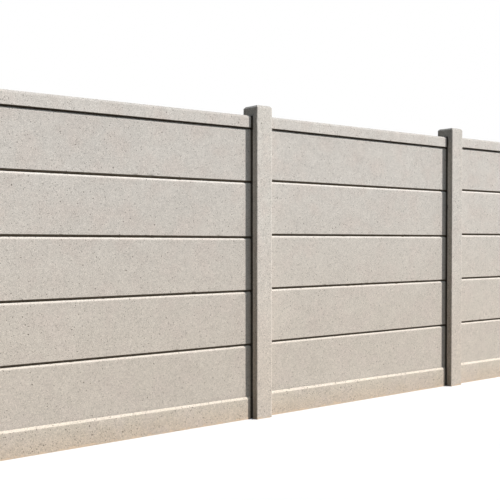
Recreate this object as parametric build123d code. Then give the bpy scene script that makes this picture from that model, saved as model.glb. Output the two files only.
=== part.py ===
from build123d import *
import os

# A precast concrete compound wall, four bays long, from the ground up.
# H-section posts hold, in each bay, a plinth beam, five stacked panels and a coping.
# X runs along the wall, the front faces -Y and Z is up, all in millimetres.
# The origin is the middle of the foot of the centre post.

# The run of the wall
bay_count = 4
bay_length = 2500  # from the middle of one post to the middle of the next

# Posts
post_width = 165  # along the wall
post_depth = 190  # through the wall
post_rise = 85  # how far a post stands above the coping
post_arris = 6  # on the four standing corners
post_top_arris = 17  # all round the flat top

# Slots, cast down both sides of every post and flared so that it leaves its mould
slot_depth = 45
slot_mouth_width = 76
slot_straight = 20  # parallel stretch at the root, before the flare begins
slot_headroom = 3  # from the top of the coping to the solid head of the post

# Panels
panel_rows = 5
panel_height = 450  # from the foot of one panel to the foot of the next
panel_thickness = 50
panel_arris = 12  # two of these make the V joint

# Interlock between the stacked pieces: each stands on the tongue of the one below
tongue_width = 14
tongue_height = 16
tongue_draft = 2  # how much each flank leans in
tongue_clearance = 1  # beside the tongue
joint_gap = 7  # how far the tongue holds two pieces apart

# Plinth beam
plinth_seat = 168  # height of the seat under its tongue
plinth_proud = 15  # how far its face stands out from the panel faces
plinth_lip = 27  # how high its lips stand above the seat, round the foot of the bottom panel
plinth_lip_land = 3  # flat top of each lip
plinth_lip_gap = 2  # between a lip and the panel
plinth_ledge_drop = 18  # fall of the sloping ledge, from the lip to the face

# Coping
coping_height = 100
coping_proud = 20  # how far its face stands out from the panel faces
coping_top_arris = 12
coping_bottom_arris = 4
drip_radius = 4
drip_inset = 11  # from the coping's face to the middle of the drip groove

# Necks, thinner than the body, that go into the slots at both ends of every piece
neck_thickness = 40
neck_clearance = 3  # beside the neck of a panel or coping; the plinth's neck fills the slot
end_clearance = 10  # from the end of a piece to the root of its slot
panel_shoulder_gap = 10  # from the body of a panel to the post
heavy_shoulder_gap = 22  # the same for a plinth or coping
end_arris = 4  # on the standing corners of a plinth or coping

# Sizes that follow from these
panel_seat = plinth_seat + joint_gap
coping_seat = panel_seat + panel_rows * panel_height
slot_height = coping_seat + coping_height + slot_headroom
post_height = coping_seat + coping_height + post_rise
slot_root_width = neck_thickness + 2 * neck_clearance
clear_length = bay_length - post_width
neck_length = clear_length + 2 * (slot_depth - end_clearance)
panel_length = clear_length - 2 * panel_shoulder_gap
heavy_length = clear_length - 2 * heavy_shoulder_gap
run_length = bay_count * bay_length
post_places = [bay_length * i - run_length / 2 for i in range(bay_count + 1)]
bay_places = [(left + right) / 2 for left, right in zip(post_places, post_places[1:])]


def mirrored_section(half):
    """The closed section whose +Y half, from bottom to top, is the given (y, z) points."""
    other_half = [(-y, z) for y, z in reversed(half) if y > 0]
    return make_face(Plane.YZ * Polyline(*half, *other_half, close=True))


def along_wall(section, length):
    """The section cast as one straight piece, centred on the bay."""
    return extrude(section, amount=length / 2, dir=(1, 0, 0), both=True)


def tongue_half(seat):
    """Right half of the tongue that stands on a seat, from its foot to its middle."""
    foot = tongue_width / 2
    return [(foot, seat), (foot - tongue_draft, seat + tongue_height), (0, seat + tongue_height)]


def groove_half():
    """Right half of the groove that stands on a tongue, from its middle to its mouth."""
    mouth = tongue_width / 2 + tongue_clearance
    roof = tongue_height - joint_gap
    return [(0, roof), (mouth - tongue_draft, roof), (mouth, 0)]


def ease_ends(body, half_thick):
    """The body with a small arris on its four standing corners."""
    corners = body.edges().filter_by(Axis.Z).filter_by(
        lambda edge: abs(edge.center().Y) > half_thick - end_arris
    )
    return chamfer(corners, end_arris)


def make_post():
    """A post with a solid head, a drafted slot down each side and arrises on its other edges."""
    post = extrude(Rectangle(post_width, post_depth), amount=post_height)
    post = chamfer(post.faces().sort_by(Axis.Z)[-1].edges(), post_top_arris)
    post = chamfer(post.edges().filter_by(Axis.Z), post_arris)
    face = post_width / 2
    flare_start = face - slot_depth + slot_straight
    flare = (slot_mouth_width - slot_root_width) / 2 / (face - flare_start)
    past_face = face + post_arris
    slot_plan = make_face(
        Polyline(
            (face - slot_depth, -slot_root_width / 2),
            (flare_start, -slot_root_width / 2),
            (past_face, -slot_root_width / 2 - flare * (past_face - flare_start)),
            (past_face, slot_root_width / 2 + flare * (past_face - flare_start)),
            (flare_start, slot_root_width / 2),
            (face - slot_depth, slot_root_width / 2),
            close=True,
        )
    )
    slot = extrude(slot_plan, amount=slot_height)
    return post - slot - mirror(slot, about=Plane.YZ)


def make_panel():
    """One panel: chamfered long edges, a groove below, a tongue above and a neck at each end."""
    half_thick = panel_thickness / 2
    shoulder = half_thick - panel_arris
    top = panel_height - joint_gap
    half = [
        *groove_half(),
        (shoulder, 0),
        (half_thick, panel_arris),
        (half_thick, top - panel_arris),
        (shoulder, top),
        *tongue_half(top),
    ]
    section = mirrored_section(half)
    neck_room = Plane.YZ * Pos(0, panel_height / 2) * Rectangle(neck_thickness, 2 * panel_height)
    return along_wall(section, panel_length) + along_wall(section & neck_room, neck_length)


def make_plinth():
    """The ground beam: lips round the bottom panel, sloping ledges, and necks for the slots."""
    half_thick = panel_thickness / 2 + plinth_proud
    lip_inside = panel_thickness / 2 + plinth_lip_gap
    lip_top = plinth_seat + plinth_lip
    half = [
        (0, 0),
        (half_thick, 0),
        (half_thick, lip_top - plinth_ledge_drop),
        (lip_inside + plinth_lip_land, lip_top),
        (lip_inside, lip_top),
        (lip_inside, plinth_seat),
        *tongue_half(plinth_seat),
    ]
    beam = ease_ends(along_wall(mirrored_section(half), heavy_length), half_thick)
    half_neck = [(0, 0), (slot_root_width / 2, 0), (slot_root_width / 2, plinth_seat)]
    neck = along_wall(mirrored_section([*half_neck, *tongue_half(plinth_seat)]), neck_length)
    return beam + neck


def make_coping():
    """The coping: drip grooves below, a groove for the top panel, and necks for the slots."""
    half_thick = panel_thickness / 2 + coping_proud
    half = [
        (0, 0),
        (half_thick - coping_bottom_arris, 0),
        (half_thick, coping_bottom_arris),
        (half_thick, coping_height - coping_top_arris),
        (half_thick - coping_top_arris, coping_height),
        (0, coping_height),
    ]
    section = mirrored_section(half)
    for side in (-1, 1):
        drip = Plane.YZ * Pos(side * (half_thick - drip_inset), 0) * Circle(drip_radius)
        section -= drip
    body = ease_ends(along_wall(section, heavy_length), half_thick)
    neck_section = Plane.YZ * Pos(0, coping_height / 2) * Rectangle(neck_thickness, coping_height)
    groove_section = mirrored_section([(0, 0), *reversed(groove_half())])
    return body + along_wall(neck_section, neck_length) - along_wall(groove_section, neck_length)


def save(shape, name, *place):
    """Write one piece of the wall, moved to its place, as its own file."""
    export_step(Pos(*place) * shape, f"parts/{name}.step")


os.makedirs("parts", exist_ok=True)
post = make_post()
panel = make_panel()
plinth = make_plinth()
coping = make_coping()

for number, x in enumerate(post_places, start=1):
    save(post, f"post_{number}", x, 0, 0)
for number, x in enumerate(bay_places, start=1):
    save(plinth, f"bay_{number}_plinth", x, 0, 0)
    for row in range(panel_rows):
        save(panel, f"bay_{number}_panel_{row + 1}", x, 0, panel_seat + row * panel_height)
    save(coping, f"bay_{number}_coping", x, 0, coping_seat)
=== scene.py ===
"""Looks for a run of precast concrete wall: worn, softened castings over the fixed frame, and their stage.

Every piece is cast again as one closed skin. Its section is the outline of the piece it stands for, with
softened corners, and it is carried along the piece in short steps, so that faces can waver and arrises can be
chipped. All sizes are in metres, X runs along the wall, its front faces -Y and Z is up.
"""

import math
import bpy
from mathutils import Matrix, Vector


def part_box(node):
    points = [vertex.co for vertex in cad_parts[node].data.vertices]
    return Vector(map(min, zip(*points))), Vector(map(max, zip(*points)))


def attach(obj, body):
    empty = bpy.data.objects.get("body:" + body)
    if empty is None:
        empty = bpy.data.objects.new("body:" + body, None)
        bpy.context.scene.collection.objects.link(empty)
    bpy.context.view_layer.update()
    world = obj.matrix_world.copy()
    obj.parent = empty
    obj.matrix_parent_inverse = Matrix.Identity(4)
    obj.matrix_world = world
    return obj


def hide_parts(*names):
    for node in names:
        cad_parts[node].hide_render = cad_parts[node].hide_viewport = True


bl_info = {
    "name": "Precast Concrete Wall",
    "version": (1, 0, 0),
    "blender": (4, 5, 0),
    "location": "3D View > Sidebar > Wall",
    "description": "Casts the posts, plinths, panels and copings of a precast concrete wall, and its stage",
    "category": "Add Mesh",
}

import bmesh
import bpy
import numpy as np
from bpy.props import FloatProperty, FloatVectorProperty, IntProperty, PointerProperty
from mathutils import Matrix, Vector

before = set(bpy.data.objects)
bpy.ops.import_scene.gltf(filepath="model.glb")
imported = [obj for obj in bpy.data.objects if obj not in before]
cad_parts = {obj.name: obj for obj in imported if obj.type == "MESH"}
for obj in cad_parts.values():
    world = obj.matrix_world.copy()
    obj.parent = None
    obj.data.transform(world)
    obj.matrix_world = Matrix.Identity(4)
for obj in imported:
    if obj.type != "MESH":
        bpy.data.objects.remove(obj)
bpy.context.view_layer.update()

SEED = 20260
NEAR = 0.0008  # points nearer than this to a line of a section count as on it
WELD = 1e-6  # points nearer than this are one
MILLIMETRE = 0.001

# How far the lines of each bay have settled below their places in the frame, in millimetres, at its left end
# and at its right end: the plinth's ledge, the four joints from the lowest up, and the coping's foot and top.
SETTLED = {
    "bay_1": ((-4, 2, -3, -6, -2, 3, 0), (5, 9, 4, 6, 3, 7, 4)),
    "bay_2": ((-7, -10, -3, -9, -5, 6, 1), (9, 7, 8, 13, 1, 4, 1)),
    "bay_3": ((-11, -1, -3, -9, -17, -6, -6), (4, 10, 5, 5, -2, 10, 6)),
    "bay_4": ((-14, -2, -7, -12, -19, -5, -6), (-1, 6, 3, 2, -4, 3, 1)),
}

# Painted light: how much lighter the castings of each bay are, as a share, standing in for light that is uneven
# along the wall; and how far the castings of one bay differ from each other at random.
BAY_LIGHT_SHARES = {"bay_1": -0.03, "bay_2": -0.045, "bay_3": -0.018, "bay_4": 0.02}
TONE_SPREAD = 0.012

# The long waves of a face: their lengths along the piece and across it.
WAVES = ((1.9, 1.1), (0.83, 0.47), (0.31, 0.23))
CHIP_HALVES = (0.008, 0.030)  # shortest and longest half of a chip
RAGGED = 0.12  # depth of the fine wear on every arris, as a share of the deepest chip

SHARP_FROM = math.radians(12)  # where two faces meet at more than this, the shading breaks

# Where the 45 degree arris round a post's top gets its rings, as shares of its height.
CROWN = (0.03, 0.15, 0.5, 0.9, 0.98, 1.0)
# Where the eased end of a body gets its rings, as shares of its arris.
EASED_RINGS = (0.0, 0.3, 0.7)
DRIP_POINTS = 7  # round a drip groove

# Marks that the castings carry for their concrete.
RECESS_SHADE_SHARE = 0.92  # how fully painted shade covers joints, slots, necks and undersides, where shade falls
PANEL_UPPER_HIGHLIGHT, PLINTH_LEDGE_HIGHLIGHT = -0.8, -0.9  # painted highlight on faces that look up, as a darkening below 0
CORNER_SHADE, CORNER_SHADE_REACH = 2.2, 0.035  # painted shade on a post's sides towards its corners, and its reach

# Layers of noise in the concrete: waves to the metre, detail and roughness.
CLOUDS, HUE, PATCHES = (2.2, 3.0, 0.5), (5.0, 2.0, 0.5), (12.0, 3.0, 0.6)
MOTTLE, GRAIN, DUST = (45.0, 2.0, 0.5), (130.0, 1.0, 0.6), (330.0, 1.0, 0.6)
# Holes left by air: cells to the metre, their radius, and the share of the cells that holds one.
PITS, PINHOLES = (26.0, 0.0044, 0.7), (60.0, 0.0032, 0.9)
PATTERN_TURN = (0.7, 0.5, 0.3)  # radians, so that no flat face lies along the grid of the noise
PATTERN_SPREAD = 9.0  # from one casting's place in the pattern to another's, at most, along each axis

MIX_FIRST, MIX_SECOND, MIX_RESULT = 6, 7, 2  # the colour sockets of a Mix node
FLOOR_REACH, FLOOR_SHADE = 60.0, 0.93


def linear(red, green, blue):
    """An 8-bit screen colour as the linear colour that shaders use: ((c + 0.055) / 1.055) ** 2.4."""
    return tuple(((c / 255 + 0.055) / 1.055) ** 2.4 for c in (red, green, blue))


def length(name, description, default):
    """A size in metres, as a property of the add-on."""
    return FloatProperty(
        name=name, description=description, default=default, min=0.0, unit="LENGTH", precision=4
    )


def amount(name, description, default):
    """A plain number from 0 up."""
    return FloatProperty(name=name, description=description, default=default, min=0.0)


def angle(name, description, default):
    """An angle in radians."""
    return FloatProperty(name=name, description=description, default=default, subtype="ANGLE")


def triple(name, description, default, subtype):
    """Three numbers, such as a direction."""
    return FloatVectorProperty(name=name, description=description, default=default, size=3, subtype=subtype)


def colour(name, description, red, green, blue):
    """A colour given in 8-bit screen values."""
    return triple(name, description, linear(red, green, blue), "COLOR")


class WallSizes(bpy.types.PropertyGroup):
    """Sections of the pieces. Lengths and places along the wall come from the frame."""

    post_arris: length("Post arris", "Chamfer on the standing corners of a post", 0.006)
    post_top_arris: length("Post top arris", "Chamfer round the top of a post", 0.017)
    slot_depth: length("Slot depth", "Depth of the slots in a post's sides", 0.045)
    slot_root: length("Slot root", "Width of a slot at its root", 0.046)
    slot_mouth: length("Slot mouth", "Width of a slot at its mouth", 0.076)
    slot_straight: length("Slot straight", "Parallel stretch of a slot at its root", 0.020)
    slot_headroom: length("Slot headroom", "From the coping's top to the solid head", 0.003)
    panel_thickness: length("Panel thickness", "Thickness of a panel between its faces", 0.050)
    panel_arris: length("Panel arris", "Chamfer on a panel's long edges", 0.012)
    tongue_width: length("Tongue width", "Width of the tongue at its foot", 0.014)
    tongue_height: length("Tongue height", "Height of the tongue on a seat", 0.016)
    tongue_draft: length("Tongue draft", "Lean of each flank of the tongue", 0.002)
    tongue_clearance: length("Tongue clearance", "Gap beside a tongue in its groove", 0.001)
    joint_gap: length("Joint gap", "How far a tongue holds two pieces apart", 0.007)
    lip: length("Plinth lip", "Height of the plinth's lips above its seat", 0.027)
    lip_gap: length("Lip gap", "Gap between a lip and the bottom panel", 0.002)
    lip_land: length("Lip land", "Flat top of a lip", 0.003)
    ledge_drop: length("Ledge drop", "Fall of the plinth's sloping ledge", 0.018)
    coping_top_arris: length("Coping top arris", "Chamfer on the coping's top edges", 0.012)
    coping_foot_arris: length("Coping foot arris", "Chamfer on the coping's bottom edges", 0.004)
    drip_radius: length("Drip radius", "Radius of the drip grooves", 0.004)
    drip_inset: length("Drip inset", "From the coping's face to a drip groove", 0.011)
    neck: length("Neck", "Thickness of the necks of panels and copings", 0.040)
    panel_shoulder: length("Panel shoulder", "From a panel's body to the post", 0.010)
    heavy_shoulder: length("Heavy shoulder", "From a plinth's or coping's body to the post", 0.022)
    end_arris: length("End arris", "Chamfer on the ends of a plinth or coping", 0.004)


class WallWear(bpy.types.PropertyGroup):
    """How far the castings are from perfect."""

    softness: length("Softness", "How far each corner is rounded back", 0.0018)
    panel_end: length("Panel end", "How far a panel's ends are worn back", 0.002)
    step: length("Step", "Spacing of the rings of points along a piece", 0.0125)
    waver: length("Waver", "Depth of the long waves in a face", 0.0008)
    chip_depth: length("Chip depth", "Depth of the deepest chips in an arris", 0.005)
    chip_reach: length("Chip reach", "How far a chip spreads over the faces beside it", 0.009)
    chips_per_metre: amount("Chips per metre", "Chips on each arris", 1.6)


class WallColours(bpy.types.PropertyGroup):
    """Colours of the concrete, as they look in full light."""

    # The low colours are warmer near the ground, partly for dirt and partly as painted warm light bounced from
    # the ground.
    post_high: colour("Post, high", "Post concrete near its top", 209, 204, 196)
    post_low: colour("Post, low", "Post concrete near the ground", 208, 197, 184)
    panel_high: colour("Panel, high", "Panel concrete near the coping", 206, 201, 194)
    panel_low: colour("Panel, low", "Panel concrete near the plinth", 204, 195, 183)
    plinth_high: colour("Plinth, high", "Plinth concrete at its ledge", 207, 197, 182)
    plinth_low: colour("Plinth, low", "Plinth concrete at the ground", 206, 191, 173)
    coping: colour("Coping", "Coping concrete", 210, 205, 198)
    rosy: colour("Rosy", "Sand that shows through in patches", 206, 193, 184)
    sand: colour("Sand", "Sand splashed on the lowest edge", 224, 200, 173)
    grime: colour("Grime", "Dirt in pits", 70, 63, 54)
    # Painted shade, rather than dirt and damp: the colour of joints, slots, necks and undersides, where shade
    # falls.
    shelter: colour("Shelter", "Dirt and damp inside joints and slots", 98, 90, 78)


class StageSettings(bpy.types.PropertyGroup):
    """The camera, as it stands in front of the centre post, and the light."""

    camera_place: triple("Camera place", "Where the camera stands", (-4.4373, -5.6193, 1.5458), "XYZ")
    camera_turn: angle("Camera turn", "From square-on towards +X", 0.6594)
    camera_dip: angle("Camera dip", "Below the level", 0.0193)
    focal_pixels: amount("Focal pixels", "Focal length in pixels of the frame", 850.0)
    frame_pixels: IntProperty(name="Frame pixels", description="Width of the frame", default=500)
    main_from: triple("Main from", "Direction towards the main light", (1.02, -1.0, 1.1), "DIRECTION")
    main_strength: amount("Main strength", "Main light", 4.04)
    main_spread: angle("Main spread", "How wide the main light is", math.radians(2.0))
    main_tint: triple("Main tint", "Colour of the main light", (1.0, 0.966, 0.938), "COLOR")
    front_from: triple("Front from", "Direction towards the soft front light", (1.0, -1.1, 0.5), "DIRECTION")
    front_strength: amount("Front strength", "Soft front light", 1.045)
    front_spread: angle("Front spread", "How wide the front light is", math.radians(80.0))
    front_tint: triple("Front tint", "Colour of the front light", (0.818, 0.909, 1.0), "COLOR")
    back_from: triple("Back from", "Direction towards the back light", (0.25, 0.8, 0.55), "DIRECTION")
    back_strength: amount("Back strength", "Back light", 2.5)
    back_spread: angle("Back spread", "How wide the back light is", math.radians(40.0))
    back_tint: triple("Back tint", "Colour of the back light", (1.0, 1.0, 1.0), "COLOR")
    sky: triple("Sky", "Light of the sky", (0.105, 0.135, 0.165), "COLOR")
    ground_bounce: colour("Ground bounce", "What the ground gives back to the wall", 102, 94, 82)


class Outline:
    """A closed section whose corners are softened and whose long edges carry points of their own.

    points is the closed run of points, nearest is the corner that each is nearest to, arris says how near it
    is (1 on the corner, 0 past reach), and outward is the section's outward direction there.
    """

    SOFT_STEPS = 3
    SHARE = 0.35  # the most of the shorter edge beside a corner that its softening takes
    SPAN = 0.075  # the most between two points of a long edge

    def __init__(self, corners, softness, reach):
        corners = np.array(corners, float)
        turned = np.roll(corners, -1, 0)
        if (corners[:, 0] * turned[:, 1] - turned[:, 0] * corners[:, 1]).sum() < 0:
            corners = corners[::-1]
        before = np.roll(corners, 1, 0) - corners
        after = np.roll(corners, -1, 0) - corners
        reach_in = np.linalg.norm(before, axis=1, keepdims=True)
        reach_out = np.linalg.norm(after, axis=1, keepdims=True)
        radius = np.minimum(softness, self.SHARE * np.minimum(reach_in, reach_out))
        start = corners + before / reach_in * radius
        end = corners + after / reach_out * radius
        # Each corner is the curve (1-t)^2 start + 2t(1-t) corner + t^2 end, for t from 0 to 1.
        t = np.linspace(0, 1, self.SOFT_STEPS)[None, :, None]
        curved = (1 - t) ** 2 * start[:, None] + 2 * t * (1 - t) * corners[:, None] + t**2 * end[:, None]
        runs = [curved[0]]
        for here, there in zip(curved, np.roll(curved, -1, 0)):
            runs.append(self.between(here[-1], there[0], reach))
            runs.append(there)
        self.points = np.concatenate(runs)[: -self.SOFT_STEPS]
        gaps = np.linalg.norm(self.points[:, None] - corners[None], axis=2)
        self.nearest = gaps.argmin(1)
        self.arris = np.clip(1 - gaps.min(1) / reach, 0, 1)
        self.corner_count = len(corners)
        along = np.roll(self.points, -1, 0) - np.roll(self.points, 1, 0)
        along /= np.linalg.norm(along, axis=1, keepdims=True)
        self.outward = np.stack([along[:, 1], -along[:, 0]], 1)

    def between(self, here, there, reach):
        """Points inside a straight stretch: one a chip's reach from each end, and even spans between."""
        span = np.linalg.norm(there - here)
        if span < 2.5 * reach:
            return np.empty((0, 2))
        inner = np.linspace(reach, span - reach, 2 + int((span - 2 * reach) / self.SPAN))
        return here + (there - here) * inner[:, None] / span


def waves(along, across, depth, rng):
    """Long shallow hollows in a face, from 0 to depth.

    The waves are added, each sin(2 pi (along / length + across / width + phase)), and the sum is brought to
    0..depth.
    """
    total = np.zeros((len(along), len(across)))
    for wavelength, crosswise in WAVES:
        turn = along[:, None] / wavelength + across[None, :] / crosswise
        total += np.sin(2 * np.pi * (turn + rng.random()))
    return depth * (total + len(WAVES)) / (2 * len(WAVES))


def chips(along, corner_count, wear, rng):
    """Depth of the chips on each corner, as an array of stations by corners.

    A chip centred at c with half-length h and depth d is d * (1 - ((s - c) / h)^2), no less than 0, and where
    chips meet, the deepest counts. A fine ragged wear is added everywhere.
    """
    span = along[-1] - along[0]
    count = rng.poisson(wear.chips_per_metre * span, corner_count)
    depths = np.zeros((len(along), corner_count))
    for corner in range(corner_count):
        centres = rng.uniform(along[0], along[-1], count[corner])
        halves = rng.uniform(*CHIP_HALVES, count[corner])
        deep = wear.chip_depth * rng.random(count[corner]) ** 2
        bites = deep * (1 - ((along[:, None] - centres) / halves) ** 2)
        depths[:, corner] = bites.max(1, initial=0).clip(0)
    return depths + RAGGED * wear.chip_depth * rng.random(depths.shape) ** 2


def bay_of(name):
    """The bay that a node or piece belongs to, or another word for a post."""
    return name[: len("bay_1")]


def stations(low, high, step):
    """Even places from low to high, about a step apart."""
    return np.linspace(low, high, 2 + int((high - low) / step))


def worn(outline, along, plain, wear, rng):
    """A ring of points for each place along a piece, less hollows and chips taken out of the outline.

    Each point is moved by -(hollow + chip) along the section's outward direction, but for the plain rings,
    which stay as they are. Also how deep each chip is, as a share of the deepest.
    """
    taken = waves(along, outline.points.sum(1), wear.waver, rng) * (1 - outline.arris)
    bitten = chips(along, outline.corner_count, wear, rng)[:, outline.nearest] * outline.arris
    bitten[plain], taken[plain] = 0, 0
    return outline.points - (taken + bitten)[..., None] * outline.outward, bitten / max(wear.chip_depth, WELD)


def settle(node, rings, along):
    """Moves a bay's rings down by how far its lines have settled.

    The fall at height z is read from the lines by linear interpolation, once for the left end and once for
    the right, and it goes evenly from the one to the other along the bay.
    """
    bay = bay_of(node)
    joints = [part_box(panel)[0].z for panel in nodes_named(f"{bay}_panel_")[1:]]
    heights = [0.0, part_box(f"{bay}_plinth")[1].z, *joints, *(corner.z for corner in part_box(f"{bay}_coping"))]
    left, right = (np.interp(rings[..., 1], heights, [0, *falls]) for falls in SETTLED[bay])
    share = ((along - along[0]) / (along[-1] - along[0]))[:, None]
    rings[..., 1] -= MILLIMETRE * ((1 - share) * left + share * right)


def cast(node, outline, rings, along, standing, **marks):
    """One closed piece from its rings: quads between neighbouring rings, and a face at each end.

    Points that fall together are made one. A piece that stands is carried upwards, the others along the wall.
    The marks are numbers for each point that its concrete reads by name.
    """
    name = node + "_concrete"
    place = along[:, None, None] * np.ones_like(rings[..., :1])
    grid = np.concatenate([rings, place] if standing else [place, rings], axis=2)
    count, ring = grid.shape[:2]
    here = np.arange(count - 1)[:, None] * ring + np.arange(ring)
    beside = np.arange(count - 1)[:, None] * ring + (np.arange(ring) + 1) % ring
    quads = np.stack([here, beside, beside + ring, here + ring], 2).reshape(-1, 4)
    ends = [list(range(ring)), list(range((count - 1) * ring, count * ring))]
    mesh = bpy.data.meshes.new(name)
    mesh.from_pydata(grid.reshape(-1, 3).tolist(), [], quads.tolist() + ends)
    for key, values in {"arris": outline.arris, **marks}.items():
        values = np.broadcast_to(values, (count, ring)).astype(np.float32)
        mesh.attributes.new(key, "FLOAT", "POINT").data.foreach_set("value", values.ravel())
    tidy = bmesh.new()
    tidy.from_mesh(mesh)
    bmesh.ops.remove_doubles(tidy, verts=tidy.verts, dist=WELD)
    bmesh.ops.dissolve_degenerate(tidy, edges=tidy.edges, dist=WELD)
    bmesh.ops.recalc_face_normals(tidy, faces=tidy.faces)
    tidy.to_mesh(mesh)
    tidy.free()
    mesh.polygons.foreach_set("use_smooth", np.ones(len(mesh.polygons), bool))
    mesh.set_sharp_from_angle(angle=SHARP_FROM)
    piece = bpy.data.objects.new(name, mesh)
    bpy.context.scene.collection.objects.link(piece)
    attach(piece, "root")
    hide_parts(node)
    return piece


def finish_piece(piece, material, rng):
    """Gives a piece its concrete, a place in the pattern, and a tone: its bay's painted light and a share of its
    own.
    """
    piece.data.materials.append(material)
    count = len(piece.data.vertices)
    own = np.tile(rng.random(3), (count, 1))
    attribute = piece.data.attributes.new("casting", "FLOAT_VECTOR", "POINT")
    attribute.data.foreach_set("vector", own.ravel().astype(np.float32))
    tone = BAY_LIGHT_SHARES.get(bay_of(piece.name), 0.0) + TONE_SPREAD * (own[0, 0] - 0.5)
    attribute = piece.data.attributes.new("tone", "FLOAT", "POINT")
    attribute.data.foreach_set("value", np.full(count, tone, np.float32))


def nodes_named(part):
    """The frame's nodes with that word in their names, in order."""
    return sorted(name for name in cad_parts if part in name)


class Number:
    """A shader value that can be added, multiplied and so on; each operation adds its Math node."""

    def __init__(self, look, socket):
        self.look, self.socket = look, socket

    def __add__(self, other):
        return self.look.maths("ADD", self, other)

    def __radd__(self, other):
        return self.look.maths("ADD", other, self)

    def __sub__(self, other):
        return self.look.maths("SUBTRACT", self, other)

    def __rsub__(self, other):
        return self.look.maths("SUBTRACT", other, self)

    def __mul__(self, other):
        return self.look.maths("MULTIPLY", self, other)

    def __rmul__(self, other):
        return self.look.maths("MULTIPLY", other, self)


class Look:
    """The nodes of a material, or of the world, while they are put together."""

    def __init__(self, owner):
        owner.use_nodes = True
        self.tree = owner.node_tree
        self.tree.nodes.clear()

    def node(self, kind, settings=None, values=None):
        """A node of any type: its settings first, then the values or links of its sockets."""
        node = self.tree.nodes.new(kind)
        for key, value in (settings or {}).items():
            setattr(node, key, value)
        for key, value in (values or {}).items():
            value = value.socket if isinstance(value, Number) else value
            if isinstance(value, bpy.types.NodeSocket):
                self.tree.links.new(value, node.inputs[key])
            else:
                node.inputs[key].default_value = value
        return node

    def number(self, node, output=0):
        """One of a node's outputs, ready for maths."""
        return Number(self, node.outputs[output])

    def mark(self, name):
        """One of the marks that a casting carries."""
        return self.number(self.node("ShaderNodeAttribute", {"attribute_name": name}), "Fac")

    def maths(self, operation, first, second):
        """Two numbers brought together by a Math node."""
        return self.number(self.node("ShaderNodeMath", {"operation": operation}, {0: first, 1: second}))

    def between(self, value, low, high, at_low=0.0, at_high=1.0):
        """A smooth step: at_low up to low, at_high from high on."""
        values = {"Value": value, "From Min": low, "From Max": high, "To Min": at_low, "To Max": at_high}
        return self.number(self.node("ShaderNodeMapRange", {"interpolation_type": "SMOOTHSTEP"}, values))

    def noise(self, place, per_metre, detail=2.0, roughness=0.5):
        """Soft noise about 0, mostly within -0.5..0.5, with so many waves to the metre."""
        values = {"Vector": place, "Scale": per_metre, "Detail": detail, "Roughness": roughness}
        return self.number(self.node("ShaderNodeTexNoise", None, values)) - 0.5

    def mix(self, factor, first, second):
        """From the first colour to the second, by the factor."""
        node = self.node("ShaderNodeMix", {"data_type": "RGBA"}, {"Factor": factor})
        for key, value in ((MIX_FIRST, first), (MIX_SECOND, second)):
            if isinstance(value, bpy.types.NodeSocket):
                self.tree.links.new(value, node.inputs[key])
            else:
                node.inputs[key].default_value = (*value, 1.0)
        return node.outputs[MIX_RESULT]

    def plain(self, rgb):
        """A colour as a socket."""
        node = self.node("ShaderNodeRGB")
        node.outputs[0].default_value = (*rgb, 1.0)
        return node.outputs[0]

    def scaled(self, shade, factor):
        """A colour or vector made longer or shorter by a factor."""
        values = {0: shade, "Scale": factor}
        return self.node("ShaderNodeVectorMath", {"operation": "SCALE"}, values).outputs[0]


def holes(look, place, per_metre, radius, share):
    """Round pits: 1 inside, 0 outside. Cells are scattered through space, and a share of them holds a ball.

    A ball's radius goes from 0.5 to 1.3 times the one given, and its rim is soft over a third of that.
    """
    cells = look.node("ShaderNodeTexVoronoi", {"feature": "F1"}, {"Vector": place, "Scale": per_metre})
    luck = look.node("ShaderNodeSeparateColor", None, {"Color": cells.outputs["Color"]})
    here = look.between(look.number(luck, 0), 1 - share, 1 - share + 0.01)
    size = per_metre * radius * (0.5 + 0.8 * look.number(luck, 1))
    inside = look.between(look.number(cells, "Distance") - size, -0.35 * per_metre * radius, 0.0, 1.0, 0.0)
    return here * inside


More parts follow.
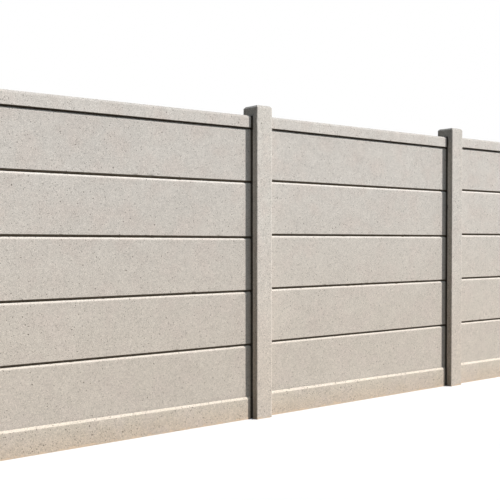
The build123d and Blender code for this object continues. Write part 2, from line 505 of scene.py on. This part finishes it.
def concrete(name, colours, high, low, heights, darker_band_from=0.0, texture=1.0, pitting=1.0):
    """Cast concrete: one colour up high and one down low, clouds, grain, pits, and a darker band and sand at its
    foot.
    It also carries painted shade in recesses, and painted highlights on arrises and on faces that look up.

    Heights are where the low colour ends and the high one begins, and the darker band starts at
    darker_band_from.
    Texture is the strength of the grain, and pitting the size of the pits.
    """
    material = bpy.data.materials.new(name)
    look = Look(material)
    at = look.node("ShaderNodeTexCoord").outputs["Object"]
    turned = look.node("ShaderNodeMapping", None, {"Vector": at, "Rotation": PATTERN_TURN}).outputs[0]
    casting = look.node("ShaderNodeAttribute", {"attribute_name": "casting"}).outputs["Vector"]
    spread = look.scaled(casting, PATTERN_SPREAD)
    place = look.node("ShaderNodeVectorMath", {"operation": "ADD"}, {0: turned, 1: spread}).outputs[0]
    height = look.number(look.node("ShaderNodeSeparateXYZ", None, {0: at}), 2)
    # Painted light: the last of these marks paints shade where it is above 0, as on the sides of posts, and
    # highlights where it is below 0, on faces that look up. It also darkens the tops of posts and copings.
    marks = ("tone", "arris", "chip", "sheltered", "weathered")
    tone, arris, chip, sheltered, weathered = (look.mark(name) for name in marks)
    clouds, hue, patches, mottle, grain, dust = (
        look.noise(place, *layer) for layer in (CLOUDS, HUE, PATCHES, MOTTLE, GRAIN, DUST)
    )
    pits, pinholes = (
        holes(look, place, per_metre, radius * pitting, share)
        for per_metre, radius, share in (PITS, PINHOLES)
    )

    shade = look.mix(look.between(height, *heights), low, high)
    shade = look.mix(look.between(hue, -0.10, 0.22, 0.0, 0.35), shade, colours.rosy)
    # Darker in a band 3 cm high from where the band starts.
    darker_foot_band = look.between(height + 0.015 * patches, darker_band_from, darker_band_from + 0.03, 1.0, 0.0)
    light = 1 + tone + 0.12 * clouds + 0.18 * patches + texture * (0.25 * mottle + 0.47 * grain + 1.5 * dust)
    # Painted highlight: faces are made lighter near each arris.
    shade = look.scaled(shade, light + 0.09 * arris - 0.10 * chip - 0.22 * weathered - 0.08 * darker_foot_band)
    shade = look.mix(0.75 * pits, shade, colours.grime)
    shade = look.mix(0.65 * pinholes, shade, colours.grime)
    splash = look.between(height + 0.06 * patches + 0.04 * mottle, 0.004, 0.020, 1.0, 0.0)
    shade = look.mix(0.75 * splash, shade, look.scaled(look.plain(colours.sand), 1 + 0.5 * grain))
    # Painted shade: joints, slots, necks and undersides take the recess shade colour.
    shade = look.mix(sheltered, shade, look.scaled(look.plain(colours.shelter), 1 + 0.8 * mottle))

    relief = 0.35 * patches + 0.30 * mottle + 0.45 * grain + 0.35 * dust - 1.6 * pits - 0.8 * pinholes
    bump = look.node("ShaderNodeBump", None, {"Strength": 1.0, "Distance": 0.001, "Height": relief})
    values = {
        "Base Color": shade,
        "Roughness": 0.88 + 0.12 * grain,
        "Specular IOR Level": 0.25,
        "Normal": bump.outputs["Normal"],
    }
    surface = look.node("ShaderNodeBsdfPrincipled", None, values)
    look.node("ShaderNodeOutputMaterial", None, {"Surface": surface.outputs[0]})
    return material


def mirrored(half):
    """A closed outline from the points of its +Y half, bottom to top."""
    half = [tuple(point) for point in half]
    return half + [(-y, z) for y, z in reversed(half) if y > 0]


def tongue_half(sizes, seat):
    """Half of the tongue on a seat, from its foot to its middle."""
    foot = sizes.tongue_width / 2
    top = seat + sizes.tongue_height
    return [(foot, seat), (foot - sizes.tongue_draft, top), (0, top)]


def groove_half(sizes, foot):
    """Half of the groove over a tongue, from its middle to its mouth."""
    mouth = sizes.tongue_width / 2 + sizes.tongue_clearance
    roof = foot + sizes.tongue_height - sizes.joint_gap
    return [(0, roof), (mouth - sizes.tongue_draft, roof), (mouth, foot)]


def post_section(sizes, half_width, half_depth):
    """Plan of a post: a rectangle with cut corners and a flared slot in each side."""
    cut, root, mouth = sizes.post_arris, sizes.slot_root / 2, sizes.slot_mouth / 2
    floor = half_width - sizes.slot_depth
    flare = floor + sizes.slot_straight
    side = [
        (half_width - cut, -half_depth),
        (half_width, cut - half_depth),
        (half_width, -mouth),
        (flare, -root),
        (floor, -root),
        (floor, root),
        (flare, root),
        (half_width, mouth),
        (half_width, half_depth - cut),
        (half_width - cut, half_depth),
    ]
    return side + [(-x, -y) for x, y in side]


def closed_slot(points, half_width, sizes):
    """Where the points of a slot go above it, on the flat side of the head, in the same order.

    Points of the flare go straight out to the side. The others, on the walls and the root, are spread evenly
    between the flares: y becomes k * (y +- the rest of the wall), with k = root / (root + straight).
    """
    x, y = points.T
    root, straight = sizes.slot_root / 2, sizes.slot_straight
    rest = np.clip(np.abs(x) - (half_width - sizes.slot_depth), 0, straight)
    spread = root / (root + straight) * (y + np.sign(y) * rest)
    return np.stack([np.sign(x) * half_width, np.where(np.abs(y) > root + WELD, y, spread)], 1)


def cast_post(node, sizes, wear, rng):
    """A post: its plan carried upwards. Above the slots it closes, and a 45 degree arris draws its top in."""
    low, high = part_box(node)
    centre = (low + high) / 2
    half_width, half_depth = (high.x - low.x) / 2, (high.y - low.y) / 2
    outline = Outline(post_section(sizes, half_width, half_depth), wear.softness, wear.chip_reach)
    slot_top = max(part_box(name)[1].z for name in nodes_named("_coping")) + sizes.slot_headroom
    shoulder = high.z - sizes.post_top_arris
    shaft = stations(low.z, slot_top, wear.step)
    head = stations(slot_top, shoulder, wear.step)
    crown = shoulder + sizes.post_top_arris * np.array(CROWN)
    along = np.concatenate([shaft, head, crown])
    rings, chip = worn(outline, along, np.zeros(len(along), bool), wear, rng)
    from_side, from_corner = (np.array([half_width, half_depth]) - np.abs(outline.points)).T
    in_slot = (from_side > NEAR) & (half_depth - from_corner < sizes.slot_mouth / 2 + NEAR)
    closed = (np.arange(len(along)) >= len(shaft))[:, None] & in_slot
    rings = np.where(closed[..., None], closed_slot(outline.points, half_width, sizes), rings)
    drawn_in = np.clip(along - shoulder, 0, None)
    edge = np.stack([half_width - drawn_in, half_depth - drawn_in], 1)[:, None]
    rings = np.clip(rings, -edge, edge) + np.array([centre.x, centre.y])
    # Painted shade: a post's sides darken towards their corners, and all over on the head above the slots.
    beside = from_corner > sizes.post_arris - NEAR
    weathered = CORNER_SHADE * beside * np.clip(1 - from_corner / CORNER_SHADE_REACH, 0, 1)
    weathered = np.maximum(weathered, beside * (along > slot_top)[:, None])
    # The crown round the top is darker.
    weathered = np.maximum(weathered, (along > shoulder + NEAR)[:, None])
    # Painted shade inside the open slots.
    sheltered = RECESS_SHADE_SHARE * (in_slot & ~closed)
    return cast(node, outline, rings, along, True, chip=chip, sheltered=sheltered, weathered=weathered)


def along_with_necks(low, high, shoulder_gap, arris, step):
    """Places along a piece with two necks, which of them are on a neck, and how far the body is eased there.

    The body starts a gap away from the faces of its two posts, and its first and last places are given twice:
    once for the neck and once for the body. The body is narrower by arris there, and by less further on.
    """
    posts = [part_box(name) for name in nodes_named("post_")]
    middle = (low + high) / 2
    start = max(box[1].x for box in posts if box[1].x < middle) + shoulder_gap
    end = min(box[0].x for box in posts if box[0].x > middle) - shoulder_gap
    near_end = arris * np.array(EASED_RINGS)
    body = stations(start + arris, end - arris, step)
    along = np.concatenate([[low, start], start + near_end, body, end - near_end[::-1], [end, high]])
    on_neck = np.isin(np.arange(len(along)), (0, 1, len(along) - 2, len(along) - 1))
    eased = np.clip(arris - np.minimum(along - start, end - along), 0, arris)
    return along, on_neck, eased


def carry(box, half, neck, shoulder_gap, arris, wear, rng):
    """A section, given by its +Y half, carried along the wall between two posts.

    Returns the outline, the places along the wall, which of them are on a neck, the rings of points and how
    deep their chips are. Each ring is clipped to its half-width: neck / 2 on a neck, and elsewhere what the
    easing leaves.
    """
    low, high = box
    outline = Outline(mirrored(half), wear.softness, wear.chip_reach)
    along, on_neck, eased = along_with_necks(low.x, high.x, shoulder_gap, arris, wear.step)
    rings, chip = worn(outline, along, on_neck, wear, rng)
    widest = np.where(on_neck, neck / 2, max(y for y, _ in half) - eased)[:, None]
    rings[..., 0] = np.clip(rings[..., 0], -widest, widest)
    return outline, along, on_neck, rings, chip


def cast_panel(node, sizes, wear, rng):
    """A panel: chamfered long edges, a groove below, a tongue above, and a plain neck into each slot."""
    low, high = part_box(node)
    thick, top, cut = sizes.panel_thickness / 2, high.z - sizes.tongue_height, sizes.panel_arris
    half = [
        *groove_half(sizes, low.z),
        (thick - cut, low.z),
        (thick, low.z + cut),
        (thick, top - cut),
        (thick - cut, top),
        *tongue_half(sizes, top),
    ]
    outline, along, on_neck, rings, chip = carry(
        (low, high), half, sizes.neck, sizes.panel_shoulder, wear.panel_end, wear, rng
    )
    from_face, height = thick - np.abs(outline.points[:, 0]), outline.points[:, 1]
    under = (height < low.z + cut) & (from_face > NEAR)
    # Painted shade on the necks, the chamfers that face down, and the tongue and groove.
    sheltered = np.maximum(RECESS_SHADE_SHARE * on_neck[:, None], under | (from_face > cut + NEAR))
    # Painted highlight: the upper chamfers are made lighter.
    painted_highlight = PANEL_UPPER_HIGHLIGHT * ((height > top - cut) & (from_face > NEAR))
    settle(node, rings, along)
    return cast(node, outline, rings, along, False, chip=chip, sheltered=sheltered, weathered=painted_highlight)


def cast_plinth(node, sizes, wear, rng):
    """A plinth beam: lips and sloping ledges on its body, and a plain neck into each slot."""
    low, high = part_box(node)
    thick, inside = (high.y - low.y) / 2, sizes.panel_thickness / 2 + sizes.lip_gap
    seat = high.z - sizes.lip
    half = [
        (0, low.z),
        (thick, low.z),
        (thick, high.z - sizes.ledge_drop),
        (inside + sizes.lip_land, high.z),
        (inside, high.z),
        (inside, seat),
        *tongue_half(sizes, seat),
    ]
    outline, along, on_neck, rings, chip = carry(
        (low, high), half, sizes.slot_root, sizes.heavy_shoulder, sizes.end_arris, wear, rng
    )
    out, height = np.abs(outline.points[:, 0]), outline.points[:, 1]
    above_seat = on_neck[:, None] & (out > sizes.tongue_width / 2 + NEAR)
    rings[..., 1] = np.where(above_seat, np.minimum(rings[..., 1], seat), rings[..., 1])
    # Painted shade on the necks, the seat and the inner faces of the lips.
    sheltered = RECESS_SHADE_SHARE * (on_neck[:, None] | (out < inside + NEAR))
    # Painted highlight: the sloping ledges and the lip tops are made lighter.
    painted_highlight = PLINTH_LEDGE_HIGHLIGHT * ((height > high.z - sizes.ledge_drop) & (out < thick - NEAR))
    settle(node, rings, along)
    return cast(node, outline, rings, along, False, chip=chip, sheltered=sheltered, weathered=painted_highlight)


def cast_coping(node, sizes, wear, rng):
    """A coping: chamfered top edges, drip grooves and a panel groove below, and a plain neck at each end."""
    low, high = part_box(node)
    thick, cut, foot = (high.y - low.y) / 2, sizes.coping_top_arris, sizes.coping_foot_arris
    turn = np.linspace(0, np.pi, DRIP_POINTS)
    drip_at, radius = thick - sizes.drip_inset, sizes.drip_radius
    drip = [(drip_at - radius * math.cos(a), low.z + radius * math.sin(a)) for a in turn]
    half = [
        *groove_half(sizes, low.z),
        *drip,
        (thick - foot, low.z),
        (thick, low.z + foot),
        (thick, high.z - cut),
        (thick - cut, high.z),
        (0, high.z),
    ]
    outline, along, on_neck, rings, chip = carry(
        (low, high), half, sizes.neck, sizes.heavy_shoulder, sizes.end_arris, wear, rng
    )
    out, height = np.abs(outline.points[:, 0]), outline.points[:, 1]
    below = height < low.z + foot
    past_neck = on_neck[:, None] & below & (out > sizes.neck / 2)
    rings[..., 1] = np.where(past_neck, low.z, rings[..., 1])
    # Painted shade on the necks and the underside.
    sheltered = np.maximum(RECESS_SHADE_SHARE * on_neck[:, None], below & (thick - out > NEAR))
    # The top chamfers are darker.
    weathered = height > high.z - cut + NEAR
    settle(node, rings, along)
    rings[on_neck, :, 1] = np.minimum(rings[on_neck, :, 1], high.z)
    return cast(node, outline, rings, along, False, chip=chip, sheltered=sheltered, weathered=weathered)


def cast_all(context, word, cast_one, kind, number, high, low, **recipe):
    """Casts every node whose name holds a word, with one concrete and its own run of chance for the kind."""
    scene = context.scene
    rng = np.random.default_rng(SEED + number)
    material = concrete(kind, scene.wall_colours, high, low, **recipe)
    for node in nodes_named(word):
        finish_piece(cast_one(node, scene.wall_sizes, scene.wall_wear, rng), material, rng)
    return {"FINISHED"}


class WALL_OT_cast_posts(bpy.types.Operator):
    """Cast the slotted posts"""

    bl_idname = "wall.cast_posts"
    bl_label = "Cast posts"

    def execute(self, context):
        colours = context.scene.wall_colours
        shades = colours.post_high, colours.post_low
        recipe = {"heights": (0.1, 2.0), "texture": 1.3}
        return cast_all(context, "post_", cast_post, "post_concrete", 0, *shades, **recipe)


class WALL_OT_cast_plinths(bpy.types.Operator):
    """Cast the plinth beams"""

    bl_idname = "wall.cast_plinths"
    bl_label = "Cast plinths"

    def execute(self, context):
        colours = context.scene.wall_colours
        shades = colours.plinth_high, colours.plinth_low
        recipe = {"heights": (0.02, 0.19), "texture": 1.15, "pitting": 1.25}
        return cast_all(context, "_plinth", cast_plinth, "plinth_concrete", 1, *shades, **recipe)


class WALL_OT_cast_panels(bpy.types.Operator):
    """Cast the stacked panels"""

    bl_idname = "wall.cast_panels"
    bl_label = "Cast panels"

    def execute(self, context):
        colours = context.scene.wall_colours
        shades = colours.panel_high, colours.panel_low
        recipe = {"heights": (0.3, 2.3), "darker_band_from": 0.195}
        return cast_all(context, "_panel_", cast_panel, "panel_concrete", 2, *shades, **recipe)


class WALL_OT_cast_copings(bpy.types.Operator):
    """Cast the copings"""

    bl_idname = "wall.cast_copings"
    bl_label = "Cast copings"

    def execute(self, context):
        colours = context.scene.wall_colours
        shades = colours.coping, colours.coping
        recipe = {"heights": (0.0, 1.0)}
        return cast_all(context, "_coping", cast_coping, "coping_concrete", 3, *shades, **recipe)


def seen(look):
    """1 for rays from the camera and for what gloss and glass show, 0 for the light that lights things."""
    rays = look.node("ShaderNodeLightPath")
    kinds = ("Camera", "Glossy", "Transmission")
    camera, glossy, through = (look.number(rays, f"Is {kind} Ray") for kind in kinds)
    return look.maths("MAXIMUM", look.maths("MAXIMUM", camera, glossy), through)


def lay_floor(settings):
    """A pale floor that keeps the shadow for the eye, and gives the wall only a soft bounce."""
    material = bpy.data.materials.new("floor")
    look = Look(material)
    pale = look.node("ShaderNodeBsdfDiffuse", None, {"Color": (*[FLOOR_SHADE] * 3, 1.0)})
    bounce = look.node("ShaderNodeBsdfDiffuse", None, {"Color": (*settings.ground_bounce, 1.0)})
    both = look.node("ShaderNodeMixShader", None, {0: seen(look), 1: bounce.outputs[0], 2: pale.outputs[0]})
    look.node("ShaderNodeOutputMaterial", None, {"Surface": both.outputs[0]})
    mesh = bpy.data.meshes.new("floor")
    corners = [(FLOOR_REACH * x, FLOOR_REACH * y, 0) for x, y in ((-1, -1), (1, -1), (1, 1), (-1, 1))]
    mesh.from_pydata(corners, [], [range(len(corners))])
    mesh.materials.append(material)
    floor = bpy.data.objects.new("floor", mesh)
    bpy.context.scene.collection.objects.link(floor)


def hang_sun(name, towards, strength, spread, tint):
    """A far light from a direction, with a spread that softens its shadows."""
    lamp = bpy.data.lights.new(name, "SUN")
    lamp.energy, lamp.angle, lamp.color = strength, spread, tint
    sun = bpy.data.objects.new(name, lamp)
    sun.rotation_euler = Vector(towards).to_track_quat("Z", "Y").to_euler()
    bpy.context.scene.collection.objects.link(sun)


def paint_world(settings):
    """White to the eye, and a weak even sky for the light."""
    world = bpy.data.worlds.new("sky")
    bpy.context.scene.world = world
    look = Look(world)
    light = look.node("ShaderNodeBackground", None, {"Color": (*settings.sky, 1.0), "Strength": 1.0})
    white = look.node("ShaderNodeBackground", None, {"Color": (1.0, 1.0, 1.0, 1.0), "Strength": 1.0})
    both = look.node("ShaderNodeMixShader", None, {0: seen(look), 1: light.outputs[0], 2: white.outputs[0]})
    look.node("ShaderNodeOutputWorld", None, {"Surface": both.outputs[0]})


def stand_camera(settings):
    """The camera, level but for its dip, turned from square-on by its turn."""
    lens = bpy.data.cameras.new("camera")
    lens.sensor_width = 36.0
    lens.lens = lens.sensor_width * settings.focal_pixels / settings.frame_pixels
    camera = bpy.data.objects.new("camera", lens)
    turn = Matrix.Rotation(-settings.camera_turn, 4, "Z")
    tilt = Matrix.Rotation(math.pi / 2 - settings.camera_dip, 4, "X")
    camera.matrix_world = Matrix.Translation(settings.camera_place) @ turn @ tilt
    bpy.context.scene.collection.objects.link(camera)
    bpy.context.scene.camera = camera


class WALL_OT_set_stage(bpy.types.Operator):
    """Set the floor, the sky, the lights and the camera"""

    bl_idname = "wall.set_stage"
    bl_label = "Set stage"

    def execute(self, context):
        settings = context.scene.wall_stage
        context.scene.view_settings.view_transform = "Standard"
        lay_floor(settings)
        paint_world(settings)
        for name in ("main", "front", "back"):
            parts = (getattr(settings, f"{name}_{part}") for part in ("from", "strength", "spread", "tint"))
            hang_sun(f"{name}_light", *parts)
        stand_camera(settings)
        return {"FINISHED"}


class WALL_PT_panel(bpy.types.Panel):
    """Lists the wall's operators"""

    bl_label = "Precast wall"
    bl_idname = "WALL_PT_panel"
    bl_space_type = "VIEW_3D"
    bl_region_type = "UI"
    bl_category = "Wall"

    def draw(self, context):
        for operator in OPERATORS:
            self.layout.operator(operator.bl_idname)


OPERATORS = (
    WALL_OT_set_stage,
    WALL_OT_cast_posts,
    WALL_OT_cast_plinths,
    WALL_OT_cast_panels,
    WALL_OT_cast_copings,
)
GROUPS = {
    "wall_sizes": WallSizes,
    "wall_wear": WallWear,
    "wall_colours": WallColours,
    "wall_stage": StageSettings,
}


def register():
    """Register the classes, and hang the properties on the scene."""
    for kind in (*GROUPS.values(), *OPERATORS, WALL_PT_panel):
        bpy.utils.register_class(kind)
    for name, kind in GROUPS.items():
        setattr(bpy.types.Scene, name, PointerProperty(type=kind))


def unregister():
    """Take the properties and the classes away again."""
    for name in GROUPS:
        delattr(bpy.types.Scene, name)
    for kind in (WALL_PT_panel, *reversed(OPERATORS), *reversed(list(GROUPS.values()))):
        bpy.utils.unregister_class(kind)


def main():
    """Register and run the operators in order."""
    register()
    for operator in OPERATORS:
        group, name = operator.bl_idname.split(".")
        getattr(getattr(bpy.ops, group), name)()


if __name__ == "__main__":
    main()
